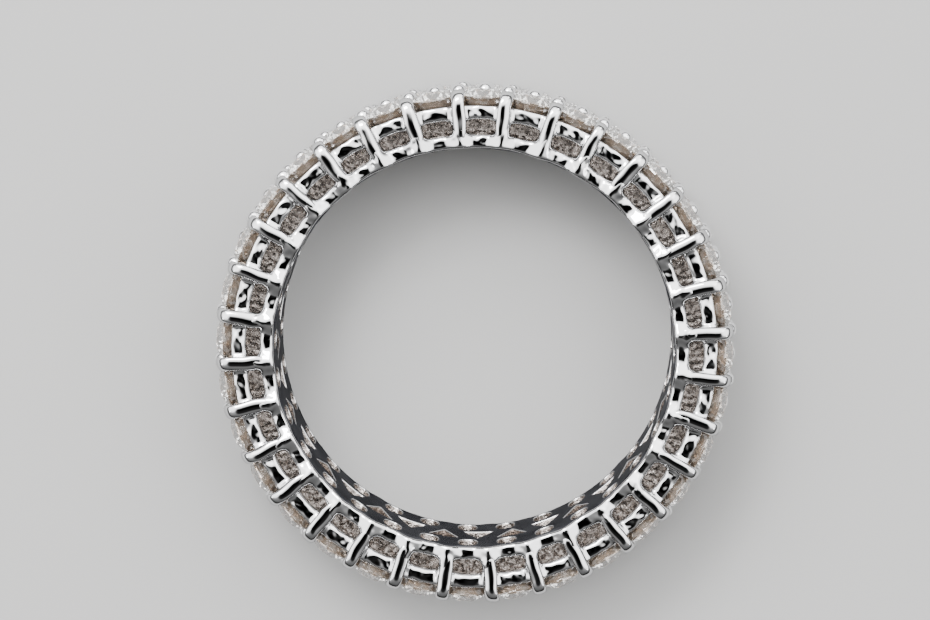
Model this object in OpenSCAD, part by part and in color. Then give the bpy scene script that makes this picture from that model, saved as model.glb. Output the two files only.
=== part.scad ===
// Eternity ring with three staggered rows of round stones, lying on its side.
// The ring's axis is Z, and it rests on the fronts of its lower claw bars at z = 0.

/* [Finger hole] */
// Radius of the finger hole
hole_r = 8.65; // [7.5:0.05:10.5]
// Chamfer on the two edges of the finger hole
hole_chamfer = 0.08; // [0.04:0.01:0.12]

/* [Band] */
// Thickness of the pierced sleeve round the finger
sleeve_t = 0.61; // [0.45:0.01:0.9]
// Height of the side windows, along a radius
window_h = 0.64; // [0.5:0.01:0.9]
// Height of the rail over the windows, along a radius
rail_h = 0.59; // [0.45:0.01:0.9]
// Thickness of each side wall
wall_t = 0.5; // [0.4:0.01:0.7]
// Thickness of the plate that the stones are seated in
plate_t = 0.3; // [0.2:0.01:0.4]
// Distance from a stone's edge to the face of the side wall
edge_inset = 0.03; // [0:0.01:0.2]

/* [Pierced sleeve] */
// Width of each oval recess, round the ring
oval_w = 0.8; // [0.5:0.01:1]
// Length of each oval recess, along the ring's axis
oval_l = 1.35; // [1.1:0.01:1.5]
// Depth of each oval recess
oval_depth = 0.3; // [0.15:0.01:0.4]
// Base of each triangle cut through the sleeve
triangle_w = 1.3; // [0.8:0.01:1.4]
// Height of each triangle, along the ring's axis
triangle_h = 1.5; // [1:0.01:1.6]
// Least distance between the middles of neighbouring triangles
triangle_step = 1.5; // [1.4:0.01:2]
// Turn of the first triangle from the first stone, in degrees
triangle_turn = 2.5; // [0:0.1:5]

/* [Stones] */
// Diameter of each stone
stone_d = 1.9; // [1.6:0.05:2.3]
// Clear distance between neighbouring stones
stone_gap = 0.17; // [0.1:0.01:0.25]
// Width of the table across its corners
table_d = 1.06; // [0.8:0.01:1.2]
// Height of the crown above the girdle
crown_h = 0.31; // [0.2:0.01:0.4]
// Thickness of the girdle
girdle_t = 0.06; // [0.03:0.01:0.12]
// Depth of the pavilion below the girdle
pavilion_h = 0.85; // [0.65:0.01:0.95]
// Height of the girdle above the plate
seat_rise = 0.34; // [0.1:0.01:0.4]
// Clearance between a stone and its seat, claws and beads
seat_gap = 0.03; // [0.02:0.01:0.06]

/* [Claws and beads] */
// Width of each claw bar
bar_w = 0.62; // [0.4:0.01:0.7]
// Height of each bar above the face of the side wall
bar_rise = 0.22; // [0.15:0.01:0.26]
// Distance from the finger hole to the ends of the bars
foot_inset = 0.12; // [0.12:0.01:0.3]
// Distance from the bend of each claw out to the stones' girdles
bend_inset = 0.17; // [0.1:0.01:0.3]
// Diameter of each claw where it leans over the stones
claw_d = 0.46; // [0.36:0.01:0.52]
// Diameter of the rounded tip of each claw
tip_d = 0.58; // [0.5:0.01:0.7]
// Height of each tip's middle above its flat underside
tip_lift = 0; // [0:0.01:0.1]
// Diameter of each bead between the rows
bead_d = 0.54; // [0.44:0.01:0.64]
// Clearance between a bead's post and the stones' girdles
post_gap = 0.08; // [0.05:0.01:0.12]
// Turn of the lower claws against the upper ones, in degrees
skew = 1.1; // [0:0.1:2]

/* [Hidden] */

// Radii of the band's layers, from the finger outwards
sleeve_r = hole_r + sleeve_t;
window_r = sleeve_r + window_h;
plate_r = window_r + rail_h;
girdle_r = plate_r + seat_rise;
stone_r = stone_d / 2;

// Rows of stones: each stone of a row faces a gap of the next row
stone_count = floor(2 * PI * girdle_r / (stone_d + stone_gap));
pitch = 360 / stone_count;
half_step = PI * girdle_r / stone_count;
row_step = sqrt(pow(stone_d + stone_gap, 2) - pow(half_step, 2));

// Heights of the two side faces and the three rows
band_w = 2 * row_step + stone_d + 2 * edge_inset;
face_z = [bar_rise + band_w, bar_rise];
row_z = [for (row = [1, 0, -1]) bar_rise + band_w / 2 + row * row_step];
bar_r = bar_w / 2;
bar_z = face_z[0] + bar_rise - bar_r;
web_w = bar_w + 0.04;

// A bead touches three stones: its height from the nearest row, and its distance from each stone's axis
bead_offset = (pow(row_step, 2) - pow(half_step, 2)) / (2 * row_step);
bead_reach = row_step - bead_offset;
post_r = bead_reach - stone_r - post_gap;
crown_slope = crown_h / (stone_r - table_d / 2);

// The conical seats run beside the pavilions
seat_slope = stone_r / pavilion_h;
seat_margin = seat_gap * sqrt(1 + pow(seat_slope, 2));
culet_r = girdle_r - girdle_t / 2 - pavilion_h;

triangle_count = 2 * floor(PI * hole_r / triangle_step);

overlap = 0.05;
ring_fn = 180;
round_fn = 24;

// Turn of the pattern at height z: the claws below stand a little round from those above
function turn_at(z) = -skew * (face_z[0] - z) / band_w;

// Radius at which the flat underside of a bead or tip of diameter d clears the crowns beside it
function underside_r(d) =
    let (cover = max(0, stone_r - bead_reach + d / 2))
    (girdle_r + girdle_t / 2 + cover * crown_slope + seat_gap * sqrt(1 + pow(crown_slope, 2))) / cos(pitch / 2);

// Corners of n points round the Z axis at radius r and height z, the first one at the angle a
function corners(n, r, z, a = 0) =
    [for (k = [0 : n - 1]) [r * cos(a + 360 * k / n), r * sin(a + 360 * k / n), z]];

// Turns a child whose axis is Z to stand on the ring at the angle a and the height z
module radial(a, z, r = 0) {
    rotate([0, 0, a]) translate([r, 0, z]) rotate([0, 90, 0]) children();
}

// One round brilliant: its axis is Z, and its girdle lies round the origin
module brilliant() {
    fold = 8;
    half = 180 / fold;
    table_r = table_d / 2;
    girdle_top = girdle_t / 2;
    table_z = girdle_top + crown_h;
    culet_z = -girdle_top - pavilion_h;
    star_r = (table_r * cos(half) + stone_r) / 2;
    star_z = table_z - (star_r * cos(half) - table_r) * crown_slope;
    lower_r = stone_r / 4;
    lower_z = culet_z + lower_r * cos(half) / seat_slope;
    table = 0;
    star = fold;
    girdle = 2 * fold;
    under = 4 * fold;
    lower = 6 * fold;
    culet = 7 * fold;
    polyhedron(
        points = concat(
            corners(fold, table_r, table_z),
            corners(fold, star_r, star_z, half),
            corners(2 * fold, stone_r, girdle_top),
            corners(2 * fold, stone_r, -girdle_top),
            corners(fold, lower_r, lower_z, half),
            [[0, 0, culet_z]]
        ),
        faces = concat(
            [[for (k = [fold - 1 : -1 : 0]) table + k]],
            [for (k = [0 : fold - 1]) let (next = (k + 1) % fold, g = girdle + 2 * k, u = under + 2 * k,
                    g_next = girdle + 2 * next, u_next = under + 2 * next)
                each [
                    [table + k, table + next, star + k],
                    [table + k, star + k, g],
                    [table + next, g_next, star + k],
                    [star + k, g + 1, g],
                    [star + k, g_next, g + 1],
                    [g, g + 1, u + 1, u],
                    [g + 1, g_next, u_next, u + 1],
                    [lower + k, u, u + 1],
                    [lower + k, u + 1, u_next],
                    [culet, u, lower + k],
                    [culet, lower + k, u_next]
                ]
            ]
        )
    );
}

// A row of stones round the ring: the middle row is half a step round from its neighbours
module stone_row(row) {
    spin = 137.5;
    z = row_z[row];
    for (i = [0 : stone_count - 1])
        radial((i + stagger(row)) * pitch + turn_at(z), z, girdle_r) rotate([0, 0, spin * i]) brilliant();
}

// Turn of a row against the bays between the upper bars, in steps
function stagger(row) = row == 1 ? 0.5 : 0;

// Section of the band, with the gallery left open between the sleeve and the plate
module band_section() {
    difference() {
        polygon([
            [hole_r, face_z[1] + hole_chamfer],
            [hole_r + hole_chamfer, face_z[1]],
            [plate_r, face_z[1]],
            [plate_r, face_z[0]],
            [hole_r + hole_chamfer, face_z[0]],
            [hole_r, face_z[0] - hole_chamfer]
        ]);
        translate([sleeve_r, face_z[1] + wall_t])
            square([plate_r - plate_t - sleeve_r, band_w - 2 * wall_t]);
    }
}

// One window in every bay between the bars of a side wall
module window_pattern() {
    difference() {
        circle(r = window_r, $fn = ring_fn);
        circle(r = sleeve_r, $fn = ring_fn);
        for (i = [0 : stone_count - 1])
            rotate((i + 0.5) * pitch) translate([0, -web_w / 2]) square([plate_r, web_w]);
    }
}

// The windows of one side wall, cut from its face into the gallery
module windows(side) {
    z = face_z[side];
    rotate([0, 0, turn_at(z)]) translate([0, 0, z - (side == 0 ? wall_t + overlap : overlap)])
        linear_extrude(height = wall_t + 2 * overlap) window_pattern();
}

// A conical seat in the plate, which follows the pavilion down to the culet
module seat() {
    depth = plate_r + overlap - culet_r;
    cylinder(h = depth, r1 = seat_margin, r2 = seat_margin + depth * seat_slope, $fn = round_fn);
}

// All the seats
module seats() {
    for (row = [0 : 2], i = [0 : stone_count - 1])
        radial((i + stagger(row)) * pitch + turn_at(row_z[row]), row_z[row], culet_r) seat();
}

// Triangles cut through the middle of the sleeve, pointing up and down in turn
module triangles() {
    inner_r = hole_r - sleeve_t;
    for (i = [0 : triangle_count - 1])
        radial(triangle_turn + i * 360 / triangle_count, row_z[1], inner_r) rotate([0, 0, i % 2 * 180])
            linear_extrude(height = sleeve_r + overlap - inner_r) polygon([
                [-triangle_h / 2, -triangle_w / 2],
                [triangle_h / 2, 0],
                [-triangle_h / 2, triangle_w / 2]
            ]);
}

// Oval recesses in the sleeve, under the stones of the two outer rows
module ovals() {
    inner_r = hole_r - sleeve_t;
    straight = oval_l - oval_w;
    for (row = [0, 2], i = [0 : stone_count - 1])
        radial(i * pitch + turn_at(row_z[row]), row_z[row], inner_r)
            linear_extrude(height = sleeve_t + oval_depth) {
                square([straight, oval_w], center = true);
                for (end = [-1, 1]) translate([end * straight / 2, 0]) circle(d = oval_w, $fn = round_fn);
            }
}

// Dome of diameter d with a flat underside, on a post that goes down by depth
module dome(d, lift, post, depth) {
    rotate_extrude($fn = round_fn) {
        intersection() {
            translate([0, lift]) circle(d = d, $fn = round_fn);
            square([d, d]);
        }
        translate([0, -depth]) square([post, depth + overlap]);
    }
}

// Straight bar of a claw, standing on Z, with a round end where the claw bends
module bar(length) {
    rotate_extrude($fn = round_fn) {
        square([bar_r, length]);
        intersection() {
            translate([0, length]) circle(r = bar_r, $fn = round_fn);
            translate([0, length - overlap]) square([bar_r, bar_r + overlap]);
        }
    }
}

// One claw of the upper side, pointing along X: its straight bar, leaning claw and rounded tip
module claw() {
    foot_r = hole_r + foot_inset;
    bend_r = girdle_r - bend_inset;
    tip_z = row_z[0] + bead_offset;
    tip_r = underside_r(tip_d);
    reach = tip_r + overlap - bend_r;
    claw_l = norm([reach, bar_z - tip_z]);
    lean = atan2(bar_z - tip_z, reach);
    radial(0, bar_z, foot_r) bar(bend_r - foot_r);
    translate([bend_r, 0, bar_z]) rotate([0, 90 + lean, 0]) cylinder(h = claw_l, d = claw_d, $fn = round_fn);
    radial(0, tip_z, tip_r) dome(tip_d, tip_lift, claw_d / 4, overlap);
}

// All the claws: those below mirror those above
module claws() {
    middle_z = row_z[1];
    for (i = [0 : stone_count - 1]) {
        rotate([0, 0, (i + 0.5) * pitch]) claw();
        rotate([0, 0, (i + 0.5) * pitch + turn_at(face_z[1])])
            translate([0, 0, 2 * middle_z]) mirror([0, 0, 1]) claw();
    }
}

// The beads between the rows, each on a post that stands on the plate
module beads() {
    r = underside_r(bead_d);
    for (side = [-1, 1], near = [0, 1], i = [0 : stone_count - 1])
        let (z = row_z[1] + side * (near == 1 ? bead_offset : bead_reach))
            radial((i + (near == 1 ? 0 : 0.5)) * pitch + turn_at(z), z, r)
                dome(bead_d, 0, post_r, r - plate_r + plate_t / 2);
}

// The cast band, in one piece with its claws and beads
module band() {
    color("gainsboro") {
        difference() {
            rotate_extrude($fn = ring_fn) band_section();
            windows(0);
            windows(1);
            seats();
            triangles();
            ovals();
        }
        claws();
        beads();
    }
}

// The three rows of stones
module upper_row_stones() {
    color("mistyrose") stone_row(0);
}

module middle_row_stones() {
    color("mistyrose") stone_row(1);
}

module lower_row_stones() {
    color("mistyrose") stone_row(2);
}

band();
upper_row_stones();
middle_row_stones();
lower_row_stones();
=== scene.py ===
"""Looks of an eternity ring: polished white metal with three staggered rows of round stones.

The ring lies on its side, with its axis along Z. Sizes are in millimetres until a mesh is made. A mesh is in
metres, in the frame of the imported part.
"""

import logging
import math
from dataclasses import dataclass, field
from enum import IntEnum

import bmesh
import bpy
import numpy as np
from mathutils import Matrix, Vector


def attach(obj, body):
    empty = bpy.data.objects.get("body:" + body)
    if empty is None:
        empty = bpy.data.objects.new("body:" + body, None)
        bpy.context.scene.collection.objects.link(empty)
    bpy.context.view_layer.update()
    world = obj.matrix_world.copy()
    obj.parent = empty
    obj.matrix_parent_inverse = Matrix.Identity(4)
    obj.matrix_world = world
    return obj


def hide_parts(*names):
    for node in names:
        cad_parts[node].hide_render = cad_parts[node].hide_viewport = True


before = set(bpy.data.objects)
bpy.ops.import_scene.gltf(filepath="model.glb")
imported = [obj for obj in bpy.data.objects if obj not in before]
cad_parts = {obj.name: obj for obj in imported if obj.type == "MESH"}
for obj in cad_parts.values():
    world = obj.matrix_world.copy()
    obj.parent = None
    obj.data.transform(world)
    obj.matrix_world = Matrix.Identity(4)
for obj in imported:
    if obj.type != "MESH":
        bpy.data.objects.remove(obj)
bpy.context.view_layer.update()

MM = 0.001
WELD = 2e-7
LOG = logging.getLogger("ring")

Array = np.ndarray
Pair = tuple[float, float]
Triple = tuple[float, float, float]
Loop = tuple[Array, Array, float]
Socket = bpy.types.NodeSocket


class Side(IntEnum):
    """The two sides of the ring: the upper one faces the camera."""

    UPPER = 1
    LOWER = -1


class Finish(IntEnum):
    """Finish of a face, as its place in the list of materials of a metal piece."""

    POLISHED = 0
    # Painted shade, dark brown-grey, and painted glints, lighter patches, over an unpolished grain.
    AS_CAST_PAINTED_SHADE_AND_GLINTS = 1
    # Painted dark reflection: the white metal painted nearly black, over a matte roughness.
    SATIN_PAINTED_DARK_REFLECTION = 2
    # Painted highlight: lighter than the polished metal, with more roughness.
    BURNISHED_PAINTED_HIGHLIGHT = 3


@dataclass
class RingSizes:
    """Sizes of the ring, as in the part's source, and those that follow from them."""

    hole_r: float = 8.65
    sleeve_t: float = 0.61
    window_h: float = 0.64
    rail_h: float = 0.59
    wall_t: float = 0.5
    plate_t: float = 0.3
    edge_inset: float = 0.03
    seat_rise: float = 0.34
    oval_w: float = 0.8
    oval_l: float = 1.35
    triangle_w: float = 1.3
    triangle_h: float = 1.5
    triangle_count: int = 36
    triangle_turn: float = 2.5
    stone_count: int = 32
    stone_d: float = 1.9
    stone_gap: float = 0.17
    table_d: float = 1.06
    girdle_t: float = 0.06
    crown_h: float = 0.31
    pavilion_h: float = 0.85
    seat_gap: float = 0.03
    bar_w: float = 0.62
    bar_rise: float = 0.22
    tip_d: float = 0.58
    bead_d: float = 0.54
    skew: float = 1.1

    def __post_init__(self) -> None:
        """Works out the radii, angles and distances that follow from the other sizes."""
        self.sleeve_r = self.hole_r + self.sleeve_t
        self.window_r = self.sleeve_r + self.window_h
        self.plate_r = self.window_r + self.rail_h
        self.girdle_r = self.plate_r + self.seat_rise
        self.pitch = 2 * math.pi / self.stone_count
        self.half_step = math.pi * self.girdle_r / self.stone_count
        self.row_step = math.sqrt((self.stone_d + self.stone_gap) ** 2 - self.half_step**2)
        self.band_w = 2 * self.row_step + self.stone_d + 2 * self.edge_inset
        self.middle_z = self.bar_rise + self.band_w / 2
        self.face_z = self.bar_rise + self.band_w
        self.bead_offset = (self.row_step**2 - self.half_step**2) / (2 * self.row_step)
        self.bead_reach = self.row_step - self.bead_offset
        self.seat_slope = self.stone_d / 2 / self.pavilion_h

    def turn_at(self, z: Array | float) -> Array | float:
        """Turn of the pattern at a height, which grows evenly from the upper face down to the lower claws."""
        return -math.radians(self.skew) * (self.face_z - z) / self.band_w

    def side_turn(self, side: Side) -> float:
        """Turn of the claws and windows of one side."""
        return 0.0 if side is Side.UPPER else self.turn_at(self.bar_rise)

    def underside_r(self, d: float) -> float:
        """Radius at which the flat underside of a bead or a claw tip clears the crowns beside it.

        Args:
            d: its width.

        Returns:
            The girdles' radius, the crown's rise under it and the gap, over the cosine of half a pitch.
        """
        slope = self.crown_h / ((self.stone_d - self.table_d) / 2)
        cover = max(0.0, self.stone_d / 2 - self.bead_reach + d / 2)
        clear = self.girdle_t / 2 + cover * slope + self.seat_gap * math.hypot(1, slope)
        return (self.girdle_r + clear) / math.cos(self.pitch / 2)

    def seat_radius(self, r: float) -> float:
        """Radius of a seat at a distance from the ring's axis: it grows evenly from the stone's point."""
        culet_r = self.girdle_r - self.girdle_t / 2 - self.pavilion_h
        return (r - culet_r) * self.seat_slope + self.seat_gap * math.hypot(1, self.seat_slope)


SIZES = RingSizes()


@dataclass(frozen=True)
class HandFinish:
    """Slow unevenness that polishing by hand leaves in a surface."""

    depth: float
    slowest: int
    fastest: int
    waves: int = 14

    def at(self, angle: Array, across: Array, seed: int) -> Array:
        """Height: a sum of sine waves, each with a whole number of crests round the ring.

        Args:
            angle: place round the ring.
            across: place across the surface.
            seed: seed of the waves.

        Returns:
            The height at each place.
        """
        rng = np.random.default_rng(seed)
        crests = rng.integers(self.slowest, self.fastest, self.waves)
        slant = rng.uniform(-self.fastest, self.fastest, self.waves) / SIZES.plate_r
        phase = rng.uniform(0, 2 * math.pi, self.waves)
        angle, across = np.broadcast_arrays(angle, across)
        waves = np.sin(angle[..., None] * crests + across[..., None] * slant + phase)
        return self.depth * waves.sum(axis=-1) / math.sqrt(self.waves)


def ring_points(
    angle: Array, radius: Array, z: Array, aside: Array | float = 0.0
) -> Array:
    """Points round the ring's axis, each moved aside at right angles to its radius.

    Here x is the radius times the cosine less the shift times the sine, and y is the sum of the radius times
    the sine and the shift times the cosine.

    Args:
        angle: angle from +X.
        radius: distance from the axis.
        z: height.
        aside: the shift.

    Returns:
        The points, with x, y and z on a new last axis.
    """
    x = radius * np.cos(angle) - aside * np.sin(angle)
    y = radius * np.sin(angle) + aside * np.cos(angle)
    return np.stack(np.broadcast_arrays(x, y, z), axis=-1)


def full_turn(count: int) -> Array:
    """Angles that share out a whole turn evenly, on a last axis of three."""
    return np.linspace(0, 2 * math.pi, count, endpoint=False)[None, None, :]


def square_loop(across: int, down: int) -> tuple[Array, Array]:
    """Points round the edge of the square from -1 to 1, anticlockwise from its lower left corner.

    Args:
        across: segments on the lower and the upper side.
        down: segments on the left and the right side.

    Returns:
        The two coordinates of the points.
    """
    run_u = np.linspace(-1, 1, across + 1)[:-1]
    run_v = np.linspace(-1, 1, down + 1)[:-1]
    u = np.concatenate([run_u, np.ones(down), -run_u, -np.ones(down)])
    v = np.concatenate([-np.ones(across), run_v, np.ones(across), -run_v])
    return u, v


@dataclass(frozen=True)
class Fall:
    """A rounded edge: a quarter of an ellipse, or nearer to a bevel where the power is under 2."""

    drop: float
    reach: float
    power: float = 2.0

    def at(self, x: Array) -> Array:
        """How far the surface falls at a distance from the edge.

        Args:
            x: the distance.

        Returns:
            The drop times one less the root of one less the power of the share of the way.
        """
        share = 1 - np.clip(x / self.reach, 0, 1)
        return self.drop * (1 - (1 - share**self.power) ** (1 / self.power))


@dataclass(frozen=True)
class Fade:
    """A smooth fade from 1 near the finger hole to 0 at its end, which is a distance from the hole."""

    end: float
    run: float

    def at(self, r: Array) -> Array:
        """Strength at a distance from the axis: three squares less two cubes of the part of the run left."""
        share = np.clip((SIZES.hole_r + self.end - r) / self.run, 0, 1)
        return share**2 * (3 - 2 * share)


@dataclass(frozen=True)
class Opening:
    """Outline of a hole with straight sides and soft corners: direction and distance of each side."""

    sides: tuple[Pair, ...]
    power: float

    def outline(
        self, ray_u: Array, ray_v: Array, grow: float = 0.0
    ) -> tuple[Array, Array]:
        """Points of the outline on rays from its middle.

        A side cuts a ray at its distance over the cosine between them. The power sum of these inverse
        lengths follows the nearest side and rounds the corners.

        Args:
            ray_u: direction of each ray along the first axis.
            ray_v: the same along the second axis.
            grow: how far the outline lies outside the hole.

        Returns:
            The two coordinates of the points.
        """
        length = np.hypot(ray_u, ray_v)
        u, v = ray_u / length, ray_v / length
        total = np.zeros_like(u)
        for direction, distance in self.sides:
            cosine = u * math.cos(direction) + v * math.sin(direction)
            total = total + np.clip(cosine / (distance + grow), 0, None) ** self.power
        reach = total ** (-1 / self.power)
        return u * reach, v * reach

    @staticmethod
    def box(half_u: float, half_v: float, power: float) -> "Opening":
        """An opening with four sides, which is round where its halves are equal and the power is 2."""
        quarter_turn = math.pi / 2
        return Opening(tuple((i * quarter_turn, half_v if i % 2 else half_u) for i in range(4)), power)

    @staticmethod
    def triangle(width: float, height: float, power: float) -> "Opening":
        """An opening with its base above and its corner below.

        Args:
            width: length of the base.
            height: distance of the corner from the base.
            power: sharpness of the corners.

        Returns:
            The opening.
        """
        slant = math.hypot(height, width / 2)
        lean = math.atan2(width / 2, height)
        side = height / 2 * (width / 2) / slant
        return Opening(((math.pi / 2, height / 2), (-lean, side), (math.pi + lean, side)), power)


def placed(name: str, data: bpy.types.ID) -> bpy.types.Object:
    """Makes an object and adds it to the scene.

    Args:
        name: its name.
        data: its mesh, light or camera.

    Returns:
        The object.
    """
    made = bpy.data.objects.new(name, data)
    bpy.context.scene.collection.objects.link(made)
    return made


@dataclass
class Shell:
    """Points and quads of one piece, gathered from grids, and the finish of each quad."""

    points: list[Array] = field(default_factory=list)
    quads: list[Array] = field(default_factory=list)
    finishes: list[Array] = field(default_factory=list)
    count: int = 0

    def add(self, grids: Array, wrap: bool, finishes: list[Finish]) -> None:
        """Adds the same grid in one or more places.

        Args:
            grids: points, by copy, row, column and coordinate.
            wrap: whether the last column joins the first one.
            finishes: finish of the quads after each row, or one for all.
        """
        copies, rows, columns, _ = grids.shape
        row = np.arange(rows - 1)[:, None] * columns
        column = np.arange(columns if wrap else columns - 1)[None, :]
        after = (column + 1) % columns
        corners = (row + column, row + after, row + columns + after, row + columns + column)
        quads = np.stack(corners, axis=-1).reshape(-1, 4)
        starts = self.count + np.arange(copies) * rows * columns
        indices = finishes * (rows - 1 if len(finishes) == 1 else 1)
        self.points.append(grids.reshape(-1, 3))
        self.quads.append((quads[None] + starts[:, None, None]).reshape(-1, 4))
        self.finishes.append(np.tile(np.repeat(indices, column.size), copies))
        self.count += copies * rows * columns

    def seam(self, grids: Array, first: int, across: int, finish: Finish) -> None:
        """Joins the first and the last row of each grid along some of their quads."""
        self.add(grids[:, [0, -1], first : first + across + 1], False, [finish])

    def piece(self, name: str, materials: list[bpy.types.Material], crease: float) -> bpy.types.Object:
        """Makes the piece, with points that meet merged and faces turned outwards.

        Args:
            name: its name.
            materials: the material of each finish.
            crease: degrees above which an edge stays sharp.

        Returns:
            The object, at the origin.
        """
        points = np.concatenate(self.points) * MM
        quads = np.concatenate(self.quads).astype(np.int32)
        mesh = bpy.data.meshes.new(name)
        mesh.vertices.add(len(points))
        mesh.vertices.foreach_set("co", points.ravel())
        mesh.loops.add(quads.size)
        mesh.loops.foreach_set("vertex_index", quads.ravel())
        mesh.polygons.add(len(quads))
        mesh.polygons.foreach_set("loop_start", np.arange(0, quads.size, 4, dtype=np.int32))
        mesh.polygons.foreach_set("material_index", np.concatenate(self.finishes).astype(np.int32))
        mesh.update(calc_edges=True)
        solid = bmesh.new()
        solid.from_mesh(mesh)
        bmesh.ops.remove_doubles(solid, verts=solid.verts, dist=WELD)
        bmesh.ops.recalc_face_normals(solid, faces=solid.faces)
        solid.to_mesh(mesh)
        solid.free()
        mesh.shade_smooth()
        mesh.set_sharp_from_angle(angle=math.radians(crease))
        for material in materials:
            mesh.materials.append(material)
        made = placed(name, mesh)
        LOG.info("%s: %d faces", name, len(mesh.polygons))
        return made


@dataclass
class SideWall:
    """One side wall: the inner rail, the outer rail and the webs round the windows, all softly rounded.

    Each window is scaled, moved and sheared a little, and a slow wave moves the rim of the finger hole.
    """

    side: Side
    across: int = 24
    down: int = 16
    rings: int = 17
    back_shares: tuple[float, ...] = (0.0, 0.15, 0.5, 1.0)
    web_w: float = 0.64
    window_power: float = 3.8
    window_scale: Pair = (0.02, 0.03)
    window_shift: float = 0.012
    window_shear: float = 0.05
    window_edge: Fall = Fall(0.13, 0.2)
    hole_edge: Fall = Fall(0.11, 0.17, 1.8)
    outer_edge: Fall = Fall(0.08, 0.2)
    inner_depth: float = 0.2
    outer_depth: float = 0.12
    depth_run: float = 0.06
    bulge: float = 0.035
    fillet: float = 0.09
    fillet_reach: float = 0.16
    foot_rise: float = 0.235
    foot_half: float = 0.68
    foot: Fade = Fade(1.15, 0.75)
    bar: Fade = Fade(1.6, 0.8)
    bar_share: float = 0.35
    wave_size: float = 0.06
    wave_reach: float = 0.35
    wave_mean: float = 0.6
    wave_most: float = 1.4
    wave: HandFinish = HandFinish(depth=0.5, slowest=9, fastest=26)
    wave_seed: int = 50
    calm_reach: float = 0.5
    calm_least: float = 0.35
    finish: HandFinish = HandFinish(depth=0.017, slowest=26, fastest=125)
    seed: int = 5
    crease: float = 62.0

    def __post_init__(self) -> None:
        """Gives the lower side a seed of its own."""
        self.seed += int(self.side is Side.LOWER)

    def height(self, angle: Array, bay: Array, r: Array, rim: Array) -> Array:
        """Height of the polished front over the side face.

        Rounded edges fall to the window and to both edges of the wall. A cosine fills each bay, and a square
        climbs to the bars. Their feet swell by a squared cosine near the hole, and further out by one less
        the cube of the share of the bar's half width.

        Args:
            angle: place round the ring.
            bay: angle from the middle of the bay.
            r: distance from the axis.
            rim: distance from the window.

        Returns:
            The height.
        """
        half_bar = SIZES.bar_w / 2
        side = r * np.sin(np.clip(SIZES.pitch / 2 - np.abs(bay), 0, None))
        climb = np.clip(1 - (side - half_bar) / self.fillet_reach, 0, 1) ** 2
        near = self.foot.at(r)
        share = np.clip(side / (half_bar + (self.foot_half - half_bar) * near), 0, 1)
        swelling = 1 - share**3 + (np.cos(share * math.pi / 2) ** 2 - 1 + share**3) * near
        swelling = swelling * (self.bar_share + (1 - self.bar_share) * self.bar.at(r))
        fall = self.window_edge.at(rim) + self.hole_edge.at(r - SIZES.hole_r)
        fall = fall + self.outer_edge.at(SIZES.plate_r - r)
        swell = self.bulge * (np.cos(2 * math.pi * bay / SIZES.pitch) - 1) / 2
        raised = np.maximum(self.fillet * climb, self.foot_rise * swelling)
        calm = np.clip((r - SIZES.hole_r) / self.calm_reach, self.calm_least, 1)
        return raised + swell - fall + calm * self.finish.at(angle, r, self.seed)

    def depth(self, r: Array) -> Array:
        """Depth of the wall's back: less over the sleeve, and again under the stones' seats.

        Args:
            r: distance from the axis.

        Returns:
            The depth at each distance.
        """
        seats_r = SIZES.plate_r - SIZES.plate_t
        radii = [SIZES.sleeve_r, SIZES.sleeve_r + self.depth_run, seats_r, SIZES.plate_r]
        return np.interp(r, radii, [self.inner_depth, SIZES.wall_t, SIZES.wall_t, self.outer_depth])

    def shell(self) -> Shell:
        """The wall's points and quads: one cell for each bay, from the middle of one bar to the next.

        Returns:
            The closed shell.
        """
        u, v = square_loop(self.across, self.down)
        half = SIZES.pitch / 2
        border_bay = u * half
        middle_r, reach_r = (SIZES.hole_r + SIZES.plate_r) / 2, (SIZES.plate_r - SIZES.hole_r) / 2
        border_r = middle_r + reach_r * np.sin(v * math.pi / 2)
        half_h = SIZES.window_h / 2
        window_r = SIZES.sleeve_r + half_h
        half_w = window_r * half - self.web_w / 2
        x, y = Opening.box(half_w, half_h, self.window_power).outline(u * half_w, v * half_h)
        rng = np.random.default_rng(self.seed)
        wide, high, moved, slant = rng.normal(0, 1, (4, SIZES.stone_count, 1, 1))
        x = x * (1 + self.window_scale[0] * wide) + self.window_shear * slant * y
        y = y * (1 + self.window_scale[1] * high) + self.window_shift * moved
        rim_r = window_r + y
        rim_bay = x / half_w * (half - np.arcsin(self.web_w / 2 / rim_r))

        def loops(share: Array) -> tuple[Array, Array]:
            """Angles and radii of the loops at shares of the way from the window to the border."""
            share = share[:, None]
            return rim_bay + (border_bay - rim_bay) * share, rim_r + (border_r - rim_r) * share

        bay, r = loops((1 + np.cos(np.linspace(0, math.pi, self.rings))) / 2)
        back_bay, back_r = loops(np.array(self.back_shares))
        rim = np.hypot((bay - rim_bay) * r, r - rim_r)
        start = np.arange(SIZES.stone_count)[:, None, None] * SIZES.pitch + SIZES.side_turn(self.side)
        front_z = self.height(start + bay, bay, r, rim)
        edge = np.clip(1 - (r - SIZES.hole_r) / self.wave_reach, 0, 1) ** 2
        wave = self.wave.at(start + bay, np.zeros_like(r), self.seed + self.wave_seed)
        r = r + self.wave_size * edge * np.clip(self.wave_mean + wave, 0, self.wave_most)
        all_bay, all_r = (np.concatenate(parts, axis=1) for parts in ((bay, back_bay), (r, back_r)))
        all_z = np.concatenate([front_z, -self.depth(back_r)], axis=1) + SIZES.band_w / 2
        points = ring_points(start + all_bay, all_r, SIZES.middle_z + self.side * all_z)

        shell = Shell()
        backs = len(self.back_shares) - 1
        shell.add(points, True, [Finish.POLISHED] * self.rings + [Finish.AS_CAST_PAINTED_SHADE_AND_GLINTS] * backs)
        shell.seam(points, 0, self.across, Finish.SATIN_PAINTED_DARK_REFLECTION)
        shell.seam(points, self.across + self.down, self.across, Finish.POLISHED)
        return shell


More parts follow.
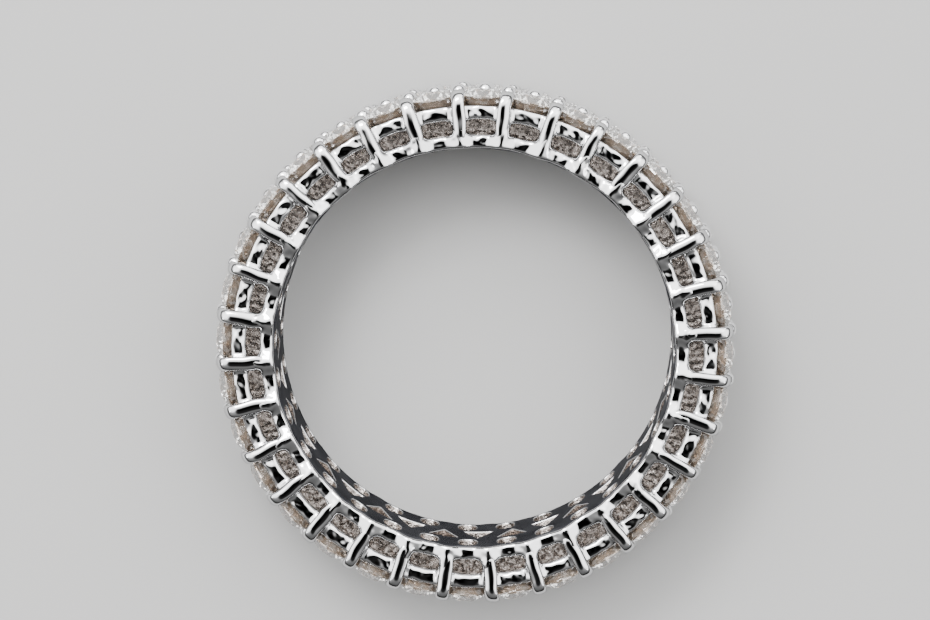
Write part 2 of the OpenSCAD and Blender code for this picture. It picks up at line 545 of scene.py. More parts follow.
def pierced_cells(
    starts: Array,
    border: tuple[Array, Array],
    rims: list[Loop],
    twist: bool,
) -> Array:
    """Cells of a pierced cylinder wall, each from its border over one face, through the hole and back.

    Args:
        starts: angle of each cell's middle.
        border: angle from that middle and height of the points of the cell's border.
        rims: angle, height and radius of the hole's loops, from the first face to the second.
        twist: whether the cells lean round with the height, as the stones do.

    Returns:
        The grids of points, by cell, loop and point.
    """
    angle, z = border
    first, last = rims[0], rims[-1]
    halfway = ((angle + first[0]) / 2, (z + first[1]) / 2, first[2])
    loops = [(angle, z, first[2]), halfway, *rims, (angle, z, last[2])]
    angles = np.stack([loop[0] for loop in loops])
    heights = np.stack([loop[1] for loop in loops])
    radii = np.array([loop[2] for loop in loops])[:, None]
    lean = SIZES.turn_at(heights) if twist else 0.0
    return ring_points(starts[:, None, None] + angles + lean, radii, heights)


@dataclass
class PiercedSleeve:
    """The sleeve round the finger, with a row of triangles between two rows of ovals."""

    across: int = 18
    triangle_across: int = 16
    down: int = 18
    end_depth: float = 0.2
    bevel: float = 0.035
    sweep: int = 4
    oval_power: float = 2.5
    triangle_power: float = 13.0
    crease: float = 40.0

    def rims(
        self, opening: Opening, rays: tuple[Array, Array], middle: Pair, flip: int = 1
    ) -> list[Loop]:
        """Loops of one hole: a rounded edge on the inner face, then straight through the sleeve.

        Args:
            opening: outline of the hole.
            rays: directions of the points from its middle.
            middle: angle and height of its middle in the cell.
            flip: -1 to turn it upside down.

        Returns:
            Angle, height and radius of each loop.
        """
        loops = []
        for part in np.linspace(0, math.pi / 2, self.sweep):
            x, y = opening.outline(rays[0], flip * rays[1], self.bevel * (1 - math.sin(part)))
            r = SIZES.hole_r + self.bevel * (1 - math.cos(part))
            loops.append((middle[0] + x / SIZES.hole_r, middle[1] + flip * y, r))
        return [*loops, (*loops[-1][:2], SIZES.sleeve_r)]

    def shell(self) -> Shell:
        """The sleeve's points and quads: 32 oval cells in each outer row and 36 triangle cells between them.

        Returns:
            The closed shell.
        """
        shell = Shell()
        finishes = [Finish.SATIN_PAINTED_DARK_REFLECTION] * 2 + [Finish.POLISHED] * (self.sweep - 1) + [Finish.AS_CAST_PAINTED_SHADE_AND_GLINTS] * 2
        row_top = SIZES.face_z - self.end_depth - SIZES.middle_z
        row_low = (SIZES.row_step - SIZES.oval_l / 2 + SIZES.triangle_h / 2) / 2
        u, v = square_loop(self.across, self.down)
        oval = Opening.box(SIZES.oval_w / 2, SIZES.oval_l / 2, self.oval_power)
        starts = np.arange(SIZES.stone_count) * SIZES.pitch
        for side in Side:
            low, high = sorted((side * row_low, side * row_top))
            border = (u * SIZES.pitch / 2, SIZES.middle_z + (low + high) / 2 + v * (high - low) / 2)
            z = SIZES.middle_z + side * SIZES.row_step
            rims = self.rims(oval, (u * SIZES.oval_w, v * SIZES.oval_l), (SIZES.turn_at(z), z))
            cells = pierced_cells(starts, border, rims, False)
            shell.add(cells, True, finishes)
            first = 0 if side is Side.LOWER else self.across + self.down
            shell.seam(cells, first, self.across, Finish.AS_CAST_PAINTED_SHADE_AND_GLINTS)
        u, v = square_loop(self.triangle_across, self.down)
        triangle = Opening.triangle(SIZES.triangle_w, SIZES.triangle_h, self.triangle_power)
        half = math.pi / SIZES.triangle_count
        border = (u * half, SIZES.middle_z + v * row_low)
        for odd, flip in enumerate((1, -1)):
            starts = np.arange(odd, SIZES.triangle_count, 2) * 2 * half + math.radians(SIZES.triangle_turn)
            rays = (u * SIZES.triangle_w, v * SIZES.triangle_h)
            rims = self.rims(triangle, rays, (0.0, SIZES.middle_z), flip)
            shell.add(pierced_cells(starts, border, rims, False), True, finishes)
        return shell


@dataclass
class SeatPlate:
    """The plate under the stones, with a conical seat for each of them."""

    across: int = 18
    down: int = 14
    end_depth: float = 0.12
    lip: float = 0.02
    crease: float = 40.0

    def shell(self) -> Shell:
        """The plate's points and quads: three rows of cells, the middle one half a step round.

        Returns:
            The closed shell.
        """
        shell = Shell()
        u, v = square_loop(self.across, self.down)
        x, y = Opening.box(1.0, 1.0, power=2.0).outline(u, v)
        top = SIZES.band_w / 2 - self.end_depth
        levels = [top, SIZES.row_step / 2, -SIZES.row_step / 2, -top]
        inner_r = SIZES.plate_r - SIZES.plate_t
        steps = [(self.lip, 0.0), (self.lip / 4, self.lip / 4), (0.0, self.lip)]
        circles = [(SIZES.seat_radius(SIZES.plate_r) + grow, SIZES.plate_r - sink) for grow, sink in steps]
        circles.append((SIZES.seat_radius(inner_r), inner_r))
        for row in range(3):
            high, low = levels[row], levels[row + 1]
            z = SIZES.middle_z + (1 - row) * SIZES.row_step
            border = (u * SIZES.pitch / 2, SIZES.middle_z + (low + high) / 2 + v * (high - low) / 2)
            rims = [(x * radius / r, z + y * radius, r) for radius, r in circles]
            starts = (np.arange(SIZES.stone_count) + row % 2 / 2) * SIZES.pitch
            cells = pierced_cells(starts, border, rims, True)
            shell.add(cells, True, [Finish.POLISHED] * 5 + [Finish.AS_CAST_PAINTED_SHADE_AND_GLINTS])
            if row != 1:
                first = 0 if row == 2 else self.across + self.down
                shell.seam(cells, first, self.across, Finish.AS_CAST_PAINTED_SHADE_AND_GLINTS)
        return shell


@dataclass
class GalleryWebs:
    """The metal behind the windows, rough from casting, between the outer rows of stones and the middle one,
    with painted shade and painted glints in its colour.
    """

    around: int = 900
    across: int = 10
    half_t: float = 0.12
    overlap: float = 0.05
    lumps: HandFinish = HandFinish(depth=0.045, slowest=60, fastest=260, waves=24)
    seed: int = 31
    crease: float = 80.0

    def shell(self) -> Shell:
        """The webs' points and quads: two flat rings with lumpy faces, from the sleeve to the seat plate.

        Returns:
            The closed shell, one ring for each side.
        """
        outer_r = SIZES.plate_r - SIZES.plate_t + self.overlap
        line = np.linspace(SIZES.sleeve_r - self.overlap, outer_r, self.across)
        r = np.concatenate([line, line[::-1], line[:1]])[:, None]
        face = np.concatenate([np.ones(self.across), -np.ones(self.across), [1.0]])[:, None]
        angle = full_turn(self.around)[0]
        shell = Shell()
        for side in Side:
            thick = face * self.half_t + self.lumps.at(angle + side, r + face, self.seed)
            z = SIZES.middle_z + side * (SIZES.row_step / 2 + thick)
            shell.add(ring_points(angle, r, z)[None], True, [Finish.AS_CAST_PAINTED_SHADE_AND_GLINTS])
        return shell


@dataclass
class ClawBars:
    """The claws of one side: each is a bar with a spread foot, bent over the stones' edge to a rounded tip.

    The section's sizes hold at marks from the foot's start and from the tip's end. The claws differ in girth
    and place by a spread, another at the tip and a wave, in crest by a spread and a wave, and in rise by a
    wave round its mean and a spread.
    """

    side: Side
    stations: int = 52
    around: int = 20
    start_r: float = 8.95
    start_sink: float = 0.16
    start_reach: float = 0.4
    bend_r: float = 10.52
    bend_out: float = 0.03
    tip_out: float = 0.04
    tip_depth: float = 0.52
    flatness: float = 2.5
    foot_marks: tuple[float, ...] = (0.0, 0.35, 0.7, 1.3)
    tip_marks: tuple[float, ...] = (0.7, 0.3, 0.0)
    foot_widths: tuple[float, ...] = (0.16, 0.26)
    tip_widths: tuple[float, ...] = (0.29, 0.3, 0.31)
    rises: tuple[float, ...] = (0.215, 0.215, 0.22)
    sinks: tuple[float, ...] = (0.2, 0.16, 0.14)
    blend: int = 9
    cap_reach: float = 0.24
    cap_power: float = 2.4
    tip_reach: float = 0.8
    tip_run: float = 0.7
    girth: Triple = (0.05, 0.06, 0.02)
    aside: Triple = (0.012, 0.035, 0.015)
    crest: Pair = (0.05, 0.03)
    rise: Triple = (0.94, 0.035, 0.03)
    bow_wave: float = 2.2
    girth_waves: Pair = (2.2, 5.0)
    crest_waves: Pair = (2.4, 5.5)
    fast_share: float = 0.6
    seed: int = 11
    crease: float = 80.0

    def path(self) -> tuple[Array, Array, Array]:
        """Middle line of a claw: straight along the side face, then a curve with one corner point.

        Returns:
            Way, radius and height of each station. The curve weighs its ends and its corner point by the
            squares and twice the product of a share and its rest.
        """
        straight = self.stations // 2
        lead = np.linspace(self.start_r, self.bend_r, straight)[:-1]
        tip_r = SIZES.underside_r(SIZES.tip_d) + self.tip_out
        t = np.sin(np.linspace(0, math.pi / 2, self.stations - straight + 1))
        weights = np.stack([(1 - t) ** 2, 2 * t * (1 - t), t**2])
        corners = [(self.bend_r, 0.0), (tip_r + self.bend_out, 0.0), (tip_r, -self.tip_depth)]
        curve = np.array(corners).T @ weights
        r = np.concatenate([lead, curve[0]])
        sunk = -self.start_sink * np.clip(1 - (lead - self.start_r) / self.start_reach, 0, 1) ** 2
        z = np.concatenate([sunk, curve[1]])
        steps = np.concatenate([[0.0], np.hypot(np.diff(r), np.diff(z))])
        return np.cumsum(steps), r, z

    def section(self, way: Array) -> list[Array]:
        """Half width of the section, and its reach above and below the middle line.

        They follow straight lines between the marks, blended over a few stations, and close in a round cap.

        Args:
            way: length of the way at each station.

        Returns:
            The three sizes at each station.
        """
        bar = SIZES.bar_w / 2
        ends = [way[-1] - mark for mark in self.tip_marks]
        width = np.interp(way, [*self.foot_marks, *ends], [*self.foot_widths, bar, bar, *self.tip_widths])
        rise, sink = np.interp(way, ends, self.rises), np.interp(way, ends, self.sinks)
        kernel = np.hanning(self.blend)[1:-1]
        kernel = kernel / kernel.sum()
        share = np.clip((way - way[-1] + self.cap_reach) / self.cap_reach, 0, 1)
        cap = np.sqrt(np.clip(1 - share**self.cap_power, 0, 1))
        padded = [np.pad(values, len(kernel) // 2, mode="edge") for values in (width, rise, sink)]
        return [np.convolve(values, kernel, mode="valid") * cap for values in padded]

    def shell(self) -> Shell:
        """The claws' points and quads: an egg-shaped section carried along the middle line.

        Half of the width is an ellipse's cosine, and the height its sine, with one reach above the line and
        another below.

        Returns:
            The closed shell, one tube for each claw.
        """
        rng = np.random.default_rng(self.seed + self.side)
        count = SIZES.stone_count
        way, r, z = self.path()
        along_r, along_z = np.gradient(r, way), np.gradient(z, way)
        norm = np.hypot(along_r, along_z)
        lines = (way, r, z, -along_z / norm, along_r / norm, *self.section(way))
        way, r, z, out_r, out_z, width, rise, sink = (line[None, :, None] for line in lines)

        def spread(amount: float) -> Array:
            """Small random differences between the claws, one for each."""
            return rng.normal(0, amount, count)[:, None, None]

        def ripple(waves: Pair) -> Array:
            """A slow and a fast wave along the way, which start anew on each claw.

            Args:
                waves: turn of each wave over a millimetre of the way, in radians.

            Returns:
                The sum of the two.
            """
            starts = rng.uniform(0, 2 * math.pi, (2, count, 1, 1))
            slow, fast = (np.sin(way * wave + start) for wave, start in zip(waves, starts))
            return slow + self.fast_share * fast

        tip_share = np.clip((way - way.max() + self.tip_reach) / self.tip_run, 0, 1)
        girth = 1 + spread(self.girth[0]) + spread(self.girth[1]) * tip_share
        girth = girth + self.girth[2] * ripple(self.girth_waves)
        aside = spread(self.aside[0]) + spread(self.aside[1]) * tip_share
        aside = aside + spread(self.aside[2]) * np.sin(way * self.bow_wave)
        turn = full_turn(self.around)
        parts = (np.cos(turn), np.sin(turn))
        wide, high = (np.sign(part) * np.abs(part) ** (2 / self.flatness) for part in parts)
        crest = spread(self.crest[0]) + self.crest[1] * ripple(self.crest_waves)
        section_w = width * (girth * wide + crest * np.clip(high, 0, 1) / (SIZES.bar_w / 2))
        above = rise * (self.rise[0] + self.rise[1] * ripple(self.crest_waves))
        section_h = np.where(high > 0, above, sink) * high * (1 - np.abs(spread(self.rise[2])))
        angle = ((np.arange(count) + 0.5) * SIZES.pitch + SIZES.side_turn(self.side))[:, None, None]
        height = SIZES.middle_z + self.side * (SIZES.band_w / 2 + (z + section_h * out_z))
        tube = ring_points(angle, r + section_h * out_r, height, section_w + aside)
        ends = tube[:, [0, -1]].mean(axis=2, keepdims=True)
        start, end = (np.broadcast_to(ends[:, i : i + 1], tube[:, :1].shape) for i in range(2))
        shell = Shell()
        shell.add(np.concatenate([start, tube[:, :-1], end], axis=1), True, [Finish.POLISHED])
        return shell


@dataclass
class Beads:
    """The beads between the rows: domes on posts, with spreads of girth, oval, depth and lean."""

    around: int = 14
    post_r: float = 0.17
    spread: float = 0.1
    height: float = 0.42
    neck: float = 0.03
    squareness: float = 0.6
    dome: tuple[float, ...] = (-24, 4, 28, 52, 72, 90)
    spreads: tuple[float, ...] = (0.03, 0.04, 0.012, 0.02)
    oval_turn: float = 6.28
    seed: int = 23
    crease: float = 80.0

    def shell(self) -> Shell:
        """The beads' points and quads: a profile turned round a line from the ring's axis.

        The dome's width is a power of the cosine of its angle, and its height is the sine.

        Returns:
            The closed shell, one turned form for each bead.
        """
        rng = np.random.default_rng(self.seed)
        girth_spread, oval_spread, depth_spread, lean_spread = self.spreads
        bead_r = SIZES.bead_d / 2 + self.spread
        part = np.radians(self.dome)
        radii = np.concatenate([[0, self.post_r, self.post_r], bead_r * np.cos(part) ** self.squareness])
        foot_r = SIZES.plate_r - SIZES.plate_t / 2
        underside_r = SIZES.underside_r(SIZES.bead_d)
        neck_r = underside_r - self.neck
        rises = np.concatenate([[foot_r, foot_r, neck_r], underside_r + self.height * np.sin(part)])
        rises = rises[None, :, None]
        steps = np.arange(SIZES.stone_count)
        angles, heights = [], []
        for side in Side:
            for offset, stagger in ((SIZES.bead_offset, 0.0), (SIZES.bead_reach, 0.5)):
                z = SIZES.middle_z + side * offset
                angles.append((steps + stagger) * SIZES.pitch + SIZES.turn_at(z))
                heights.append(np.full(len(steps), z))
        angle, z = np.concatenate(angles)[:, None, None], np.concatenate(heights)[:, None, None]
        shape = (len(angle), 1, 1)
        turn = full_turn(self.around)
        girth = 1 + rng.normal(0, girth_spread, shape)
        oval = rng.normal(0, oval_spread, shape)
        oval = 1 + oval * np.cos(2 * turn + rng.uniform(0, self.oval_turn, shape))
        ring = radii[None, :, None] * girth * oval
        r = rises - np.abs(rng.normal(0, depth_spread, shape)) * (rises > neck_r)
        lean = rng.normal(0, lean_spread, shape) * (rises > neck_r)
        shell = Shell()
        points = ring_points(angle, r, z + ring * np.sin(turn), ring * np.cos(turn) + lean)
        # The beads take the metal that is painted brighter as a highlight.
        shell.add(points, True, [Finish.BURNISHED_PAINTED_HIGHLIGHT])
        return shell


@dataclass
class Graph:
    """A node tree that is filled with short calls."""

    tree: bpy.types.NodeTree

    def fill(self, node: bpy.types.Node, inputs: dict) -> None:
        """Sets inputs of a node.

        Args:
            node: the node.
            inputs: value, or socket to link from, of each named or numbered input.
        """
        for name, value in inputs.items():
            if isinstance(value, Socket):
                self.tree.links.new(value, node.inputs[name])
            else:
                node.inputs[name].default_value = value

    def add(self, kind: str, inputs: dict | None = None, **settings: object) -> bpy.types.Node:
        """Adds a node.

        Args:
            kind: the last part of the type's name, after ShaderNode.
            inputs: value or socket of each input.
            settings: values of its own properties.

        Returns:
            The node.
        """
        node = self.tree.nodes.new(f"ShaderNode{kind}")
        for name, value in settings.items():
            setattr(node, name, value)
        self.fill(node, inputs or {})
        return node

    def place(self) -> Socket:
        """Adds the place on the object, in the object's own coordinates."""
        return self.add("TexCoord").outputs["Object"]

    def noise(self, place: Socket, scale: Socket | float, detail: float) -> Socket:
        """Adds noise and returns its strength at the place."""
        values = {"Vector": place, "Scale": scale, "Detail": detail}
        return self.add("TexNoise", values).outputs["Fac"]

    def share(
        self, value: Socket, low: float, high: float, ends: Pair = (0.0, 1.0), **settings: object
    ) -> Socket:
        """Adds a range from low to high and returns the value's place in it, carried over to the two ends."""
        values = {"Value": value, "From Min": low, "From Max": high, "To Min": ends[0], "To Max": ends[1]}
        return self.add("MapRange", values, **settings).outputs[0]

    def math(self, operation: str, first: Socket | float, second: Socket | float) -> Socket:
        """Adds an operation on two values or sockets and returns its result."""
        return self.add("Math", {0: first, 1: second}, operation=operation).outputs[0]

    def mix(self, share: Socket, first: Socket, second: Socket) -> Socket:
        """Adds a mix of two colours, where a share of 1 gives the second, and returns its colour."""
        return self.add("Mix", {0: share, 6: first, 7: second}, data_type="RGBA").outputs[2]

    def ramp(self, value: Socket, stops: tuple[tuple[float, Triple], ...]) -> Socket:
        """Adds a colour ramp.

        Args:
            value: the place on the ramp.
            stops: place and colour of each stop.

        Returns:
            The colour.
        """
        node = self.add("ValToRGB", {"Fac": value})
        elements = node.color_ramp.elements
        elements[0].position, elements[0].color = stops[0][0], (*stops[0][1], 1)
        elements[1].position, elements[1].color = stops[-1][0], (*stops[-1][1], 1)
        for place, colour in stops[1:-1]:
            elements.new(place).color = (*colour, 1)
        return node.outputs["Color"]


def effect_group(name: str, inputs: dict[str, float], outputs: tuple[str, ...]) -> tuple:
    """Starts a shader node group that takes and gives numbers.

    Args:
        name: the group's name.
        inputs: default of each input.
        outputs: names of the outputs.

    Returns:
        The group's graph, the sockets that bring its inputs and the node that takes its outputs.
    """
    tree = bpy.data.node_groups.new(name, "ShaderNodeTree")
    for label, value in inputs.items():
        tree.interface.new_socket(label, in_out="INPUT", socket_type="NodeSocketFloat").default_value = value
    for label in outputs:
        tree.interface.new_socket(label, in_out="OUTPUT", socket_type="NodeSocketFloat")
    given, made = tree.nodes.new("NodeGroupInput"), tree.nodes.new("NodeGroupOutput")
    return Graph(tree), given.outputs, made


def hand_marks_group() -> bpy.types.NodeTree:
    """The marks that polishing leaves: slow waves and fine scratches.

    Returns:
        The group: Height for a bump, and Wear, which is 1 where the scratches are densest.
    """
    inputs = {"Wave": 2500.0, "Scratch": 30000.0, "Scratch share": 0.2}
    graph, given, made = effect_group("hand_marks", inputs, ("Height", "Wear"))
    place = graph.place()
    scratch_turn, scratch_stretch = (0.3, 0.5, 0.9), (1.0, 0.12, 1.0)
    along = {"Vector": place, "Rotation": scratch_turn, "Scale": scratch_stretch}
    wave = graph.noise(place, given["Wave"], 1.0)
    scratch = graph.noise(graph.add("Mapping", along).outputs[0], given["Scratch"], 2.0)
    height = graph.math("ADD", wave, graph.math("MULTIPLY", scratch, given["Scratch share"]))
    graph.fill(made, {"Height": height, "Wear": graph.math("MULTIPLY", scratch, wave)})
    return graph.tree


def grain_group() -> bpy.types.NodeTree:
    """The grain of a surface that isn't polished: fine noise over coarse cells.

    Returns:
        The group: Height for a bump, and Patch, which changes slowly over the surface.
    """
    inputs = {"Grain": 26000.0, "Patch scale": 4200.0, "Patch share": 0.6}
    graph, given, made = effect_group("metal_grain", inputs, ("Height", "Patch"))
    place = graph.place()
    fine, patch = graph.noise(place, given["Grain"], 3.0), graph.noise(place, given["Patch scale"], 4.0)
    share = graph.math("MULTIPLY", patch, given["Patch share"])
    graph.fill(made, {"Height": graph.math("ADD", fine, share), "Patch": patch})
    return graph.tree


def new_material(name: str) -> tuple[bpy.types.Material, Graph, bpy.types.Node]:
    """Makes a material.

    Args:
        name: its name.

    Returns:
        The material, its graph and its one shader.
    """
    material = bpy.data.materials.new(name)
    material.use_nodes = True
    return material, Graph(material.node_tree), material.node_tree.nodes["Principled BSDF"]


@dataclass(frozen=True)
class MetalFinish:
    """A finish of the white metal: its colours, its gloss from dark to light, and its relief in millimetres.

    The group makes the mask and the relief, and the mask's range is the spread on each side of 0.5.
    """

    name: str
    dark: Triple
    light: Triple
    gloss: Pair
    relief: float
    group: bpy.types.NodeTree
    values: dict[str, float]
    # Below 1, the Specular Tint paints the metal's grazing reflections darker, a painted shade at its rims.
    edge: float = 1.0
    spread: float = 0.25

    def material(self) -> bpy.types.Material:
        """The finish as a material, whose mask mixes the colours and the roughness.

        Returns:
            The material.
        """
        material, graph, shader = new_material(self.name)
        effect = graph.add("Group", self.values, node_tree=self.group)
        mask, low, high = effect.outputs[1], 0.5 - self.spread, 0.5 + self.spread
        tint = graph.ramp(mask, ((low, self.dark), (high, self.light)))
        relief = {"Height": effect.outputs["Height"], "Distance": self.relief * MM, "Strength": 1.0}
        graph.fill(shader, {
            "Base Color": tint,
            "Roughness": graph.share(mask, low, high, self.gloss),
            "Normal": graph.add("Bump", relief).outputs["Normal"],
            "Metallic": 1.0,
            "Specular Tint": (self.edge, self.edge, self.edge, 1),
        })
        return material


@dataclass(frozen=True)
class StoneFinish:
    """Clear faceted stone with painted light: a warm tint painted at its edge, where light that went through
    it many times comes out, a near-white crown, and painted glints on the pavilions under the seats.

    The runs are distances along the ring's radius, edge_run from the girdles and deep_run from the plate.
    """

    name: str = "clear_stone"
    # Colours of the painted light, from the warm edge at the girdle to the near-white crown.
    edge: Triple = (0.74, 0.56, 0.42)
    middle: Triple = (0.93, 0.85, 0.76)
    crown: Triple = (1.0, 0.99, 0.97)
    edge_run: Pair = (0.01, 0.15)
    fleck_scale: float = 3200.0
    fleck_middle: float = 0.43
    fleck_share: float = 1.8
    glints: tuple[tuple[float, Triple], ...] = (
        (0.38, (0.09, 0.07, 0.06)), (0.5, (0.36, 0.3, 0.26)), (0.62, (0.95, 0.9, 0.84)),
    )
    glint_scale: float = 5200.0
    deep_run: Pair = (-0.3, -0.05)
    ior: float = 2.3
    clarity: float = 0.88

    def material(self) -> bpy.types.Material:
        """The finish as a material, whose colour is painted light that follows the distance from the ring's
        axis and noise.

        Returns:
            The material.
        """
        material, graph, shader = new_material(self.name)
        place = graph.place()
        parts = graph.add("SeparateXYZ", {0: place}).outputs
        flat = graph.add("CombineXYZ", {"X": parts["X"], "Y": parts["Y"]}).outputs[0]
        length = graph.add("VectorMath", {0: flat}, operation="LENGTH").outputs["Value"]
        runs = ((SIZES.girdle_r, self.edge_run), (SIZES.plate_r, self.deep_run))
        outside, above = (graph.share(length, *((r + step) * MM for step in run)) for r, run in runs)
        fleck = graph.math("SUBTRACT", graph.noise(place, self.fleck_scale, 2.0), self.fleck_middle)
        mixed = graph.math("ADD", outside, graph.math("MULTIPLY", fleck, self.fleck_share))
        # Painted light: warm at the girdles, paler towards the crowns, mottled by flecks.
        tint = graph.ramp(mixed, ((0.0, self.edge), (0.5, self.middle), (0.85, self.crown)))
        # Painted glints: dark and bright flecks on the pavilions under the seat plate.
        painted_glint_colour = graph.ramp(graph.noise(place, self.glint_scale, 3.0), self.glints)
        values = {"Transmission Weight": self.clarity, "Roughness": 0.0, "IOR": self.ior}
        graph.fill(shader, {"Base Color": graph.mix(above, painted_glint_colour, tint), **values})
        return material


@dataclass
class Ring:
    """The whole ring: its metal pieces, and its stones in the places where the part has them."""

    def finishes(self) -> list[bpy.types.Material]:
        """The metal's materials.

        Returns:
            The materials, in the order of the finishes.
        """
        marks, grain = hand_marks_group(), grain_group()
        # Polished metal: its edge of 0.5 darkens the grazing reflections, a painted shade on the flanks of
        # the claws' tips and bars.
        polished = MetalFinish(
            "polished_metal", (0.68, 0.68, 0.685), (0.76, 0.76, 0.765), (0.03, 0.09), 0.0028, marks,
            {"Wave": 1800.0, "Scratch": 26000.0, "Scratch share": 0.12}, edge=0.5,
        )
        # Insides of the gallery: unpolished grain and roughness, with the metal painted dark brown-grey as
        # painted shade and flecked with lighter patches as painted glints.
        cast_painted_shade_and_glints = MetalFinish(
            "metal_as_cast_painted_shade_and_glints", (0.13, 0.115, 0.105), (0.62, 0.56, 0.52), (0.16, 0.32), 0.034, grain,
            {"Grain": 11000.0, "Patch scale": 5200.0, "Patch share": 1.3}, spread=0.17,
        )
        # Face of the finger hole: the white metal painted nearly black as a painted dark reflection, with
        # grazing reflections dimmed by an edge of 0.12; the higher roughness is real.
        satin_painted_dark_reflection = MetalFinish(
            "satin_metal_painted_dark_reflection", (0.12, 0.122, 0.135), (0.17, 0.172, 0.185), (0.34, 0.42), 0.0012, grain,
            {"Grain": 30000.0, "Patch scale": 600.0, "Patch share": 0.1}, edge=0.12,
        )
        # Beads: a lighter copy of the polished metal, painted brighter as a painted highlight; their higher
        # roughness is real.
        burnished_painted_highlight = MetalFinish(
            "burnished_metal_painted_highlight", (0.84, 0.84, 0.845), (0.94, 0.94, 0.945), (0.16, 0.26), 0.002, marks,
            {"Wave": 2600.0, "Scratch": 26000.0, "Scratch share": 0.12},
        )
        return [finish.material() for finish in (polished, cast_painted_shade_and_glints, satin_painted_dark_reflection, burnished_painted_highlight)]

    def build(self) -> None:
        """Builds each metal piece in place of the band, and gives the stones their finish."""
        materials = self.finishes()
        parts = {
            "pierced_sleeve": PiercedSleeve(),
            "upper_side_wall": SideWall(Side.UPPER),
            "lower_side_wall": SideWall(Side.LOWER),
            "seat_plate": SeatPlate(),
            "gallery_webs": GalleryWebs(),
            "upper_claws": ClawBars(Side.UPPER),
            "lower_claws": ClawBars(Side.LOWER),
            "beads": Beads(),
        }
        for name, part in parts.items():
            made = part.shell().piece(name, materials, part.crease)
            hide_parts("band")
            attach(made, "root")
        stone = StoneFinish().material()
        for name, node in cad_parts.items():
            if name.endswith("_stones"):
                node.data.materials.clear()
                node.data.materials.append(stone)
                LOG.info("%s: %d faces", name, len(node.data.polygons))


def sky_direction(azimuth: float, elevation: float) -> Triple:
    """Unit vector towards a place in the sky, given by degrees from +X and degrees above the floor."""
    a, e = math.radians(azimuth), math.radians(elevation)
    return math.cos(a) * math.cos(e), math.sin(a) * math.cos(e), math.sin(e)


@dataclass(frozen=True)
class Lamp:
    """A round soft light in the dome, or a shade, which takes away a share of the light in the same form.

    The angles are in degrees. The light falls between the core's and the edge's angle from its middle.
    """

    azimuth: float
    elevation: float
    core: float
    edge: float
    strength: float

    def glow(self, graph: Graph, direction: Socket) -> Socket:
        """Adds the light to a node tree.

        Args:
            graph: the tree.
            direction: the direction that is looked at.

        Returns:
            The strength, which falls smoothly from the bright core to nothing at the outer edge.
        """
        vectors = {0: direction, 1: sky_direction(self.azimuth, self.elevation)}
        facing = graph.add("VectorMath", vectors, operation="DOT_PRODUCT").outputs["Value"]
        outer, inner = (math.cos(math.radians(angle)) for angle in (self.edge, self.core))
        share = graph.share(facing, outer, inner, interpolation_type="SMOOTHSTEP")
        return graph.math("MULTIPLY", share, self.strength)


@dataclass(frozen=True)
class PhotoCamera:
    """The camera, tilted over the ring as in the photograph: angles in degrees and distances in metres.

    The shift moves the picture by pixels of the photograph.
    """

    sensor: float = 36.0
    lens: float = 134.7
    clip: Pair = (0.01, 10.0)
    distance: float = 0.15
    up_angle: float = 91.7
    tilt_up: float = 6.8
    tilt_right: float = 1.5
    picture_w: int = 930
    shift: Pair = (9.0, 38.9)

    def add(self) -> None:
        """Adds the camera to the scene, aimed at the middle of the upper side face."""
        data = bpy.data.cameras.new("camera")
        data.sensor_width = self.sensor
        data.lens = self.lens
        data.clip_start, data.clip_end = self.clip
        made = placed("camera", data)
        up_angle = math.radians(self.up_angle)
        up = Vector((math.cos(up_angle), math.sin(up_angle), 0))
        right = Vector((up.y, -up.x, 0))
        tilts = (math.tan(math.radians(angle)) for angle in (self.tilt_up, self.tilt_right))
        back = (Vector((0, 0, 1)) + up * next(tilts) + right * next(tilts)).normalized()
        across = up.cross(back).normalized()
        over = back.cross(across)
        made.rotation_euler = Matrix((across, over, back)).transposed().to_euler()
        step = self.distance / (data.lens / data.sensor_width * self.picture_w)
        shift = over * (self.shift[1] * step) - across * (self.shift[0] * step)
        made.location = Vector((0, 0, SIZES.face_z * MM)) + back * self.distance + shift
        bpy.context.scene.camera = made


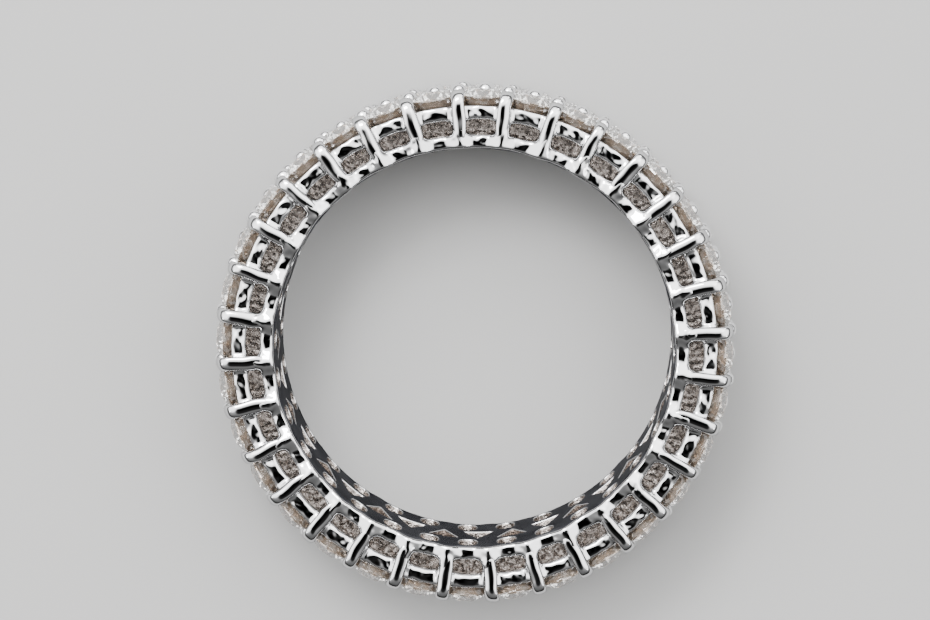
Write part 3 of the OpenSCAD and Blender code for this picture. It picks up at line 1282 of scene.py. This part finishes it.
@dataclass
class Studio:
    """Pale floor, soft light and the camera at the photograph's angle."""

    floor_size: float = 1.6
    floor_colour: Triple = (0.36, 0.358, 0.355)
    floor_roughness: float = 0.55
    centre: Triple = (0.0, 0.0, 0.003)
    dome: tuple[Pair, ...] = (
        (0.0, 0.05), (0.22, 0.06), (0.42, 0.28), (0.6, 0.36), (0.86, 0.34), (0.945, 0.2), (0.98, 0.004),
    )
    sky_strength: float = 3.0
    lamps: tuple[Lamp, ...] = (
        Lamp(93, 52, 22, 42, 1.5),
        Lamp(172, 46, 16, 34, 1.1),
        Lamp(8, 46, 16, 34, 1.1),
        Lamp(60, 24, 3, 7, 3),
        Lamp(125, 34, 3, 7, 3),
        Lamp(200, 27, 3, 6, 3),
        Lamp(-25, 31, 3, 6, 3),
    )
    shades: tuple[Lamp, ...] = (
        Lamp(-90, 73, 9, 26, 0.95),
        Lamp(-90, 12, 26, 80, 0.8),
    )
    key_place: Pair = (118.0, 52.0)
    key_distance: float = 0.3
    key_size: Pair = (0.12, 0.08)
    key_watts: float = 0.8

    def floor(self) -> None:
        """The pale floor that the ring lies on."""
        half = self.floor_size / 2
        mesh = bpy.data.meshes.new("floor")
        corners = [(-half, -half, 0), (half, -half, 0), (half, half, 0), (-half, half, 0)]
        mesh.from_pydata(corners, [], [(0, 1, 2, 3)])
        made = placed("floor", mesh)
        material, graph, shader = new_material("pale_floor")
        graph.fill(shader, {"Base Color": (*self.floor_colour, 1), "Roughness": self.floor_roughness})
        mesh.materials.append(material)

    def sky(self) -> None:
        """A grey dome, dark overhead, with round lamps and two shades, which the metal mirrors.

        Each lamp adds its strength to the dome, and each shade leaves one less its share of the sum.
        """
        world = bpy.data.worlds.new("studio")
        bpy.context.scene.world = world
        world.use_nodes = True
        graph = Graph(world.node_tree)
        direction = graph.add("TexCoord").outputs["Generated"]
        up = graph.add("SeparateXYZ", {0: direction}).outputs["Z"]
        light = graph.ramp(up, tuple((place, (value, value, value)) for place, value in self.dome))
        for lamp in self.lamps:
            light = graph.math("ADD", light, lamp.glow(graph, direction))
        for shade in self.shades:
            rest = graph.math("SUBTRACT", 1.0, shade.glow(graph, direction))
            light = graph.math("MULTIPLY", light, rest)
        background = world.node_tree.nodes["Background"]
        graph.fill(background, {"Color": light, "Strength": self.sky_strength})

    def key(self) -> None:
        """A rectangular light that faces the ring."""
        light = bpy.data.lights.new("key", "AREA")
        light.shape = "RECTANGLE"
        light.size, light.size_y = self.key_size
        light.energy = self.key_watts
        made = placed("key", light)
        away = Vector(sky_direction(*self.key_place))
        made.location = Vector(self.centre) + away * self.key_distance
        made.rotation_euler = away.to_track_quat("Z", "Y").to_euler()

    def build(self) -> None:
        """Sets up the floor, the light and the camera."""
        self.floor()
        self.sky()
        self.key()
        PhotoCamera().add()


def main() -> None:
    """Builds the ring and the studio."""
    logging.basicConfig(level=logging.INFO, format="%(message)s")
    Ring().build()
    Studio().build()


if __name__ == "__main__":
    main()
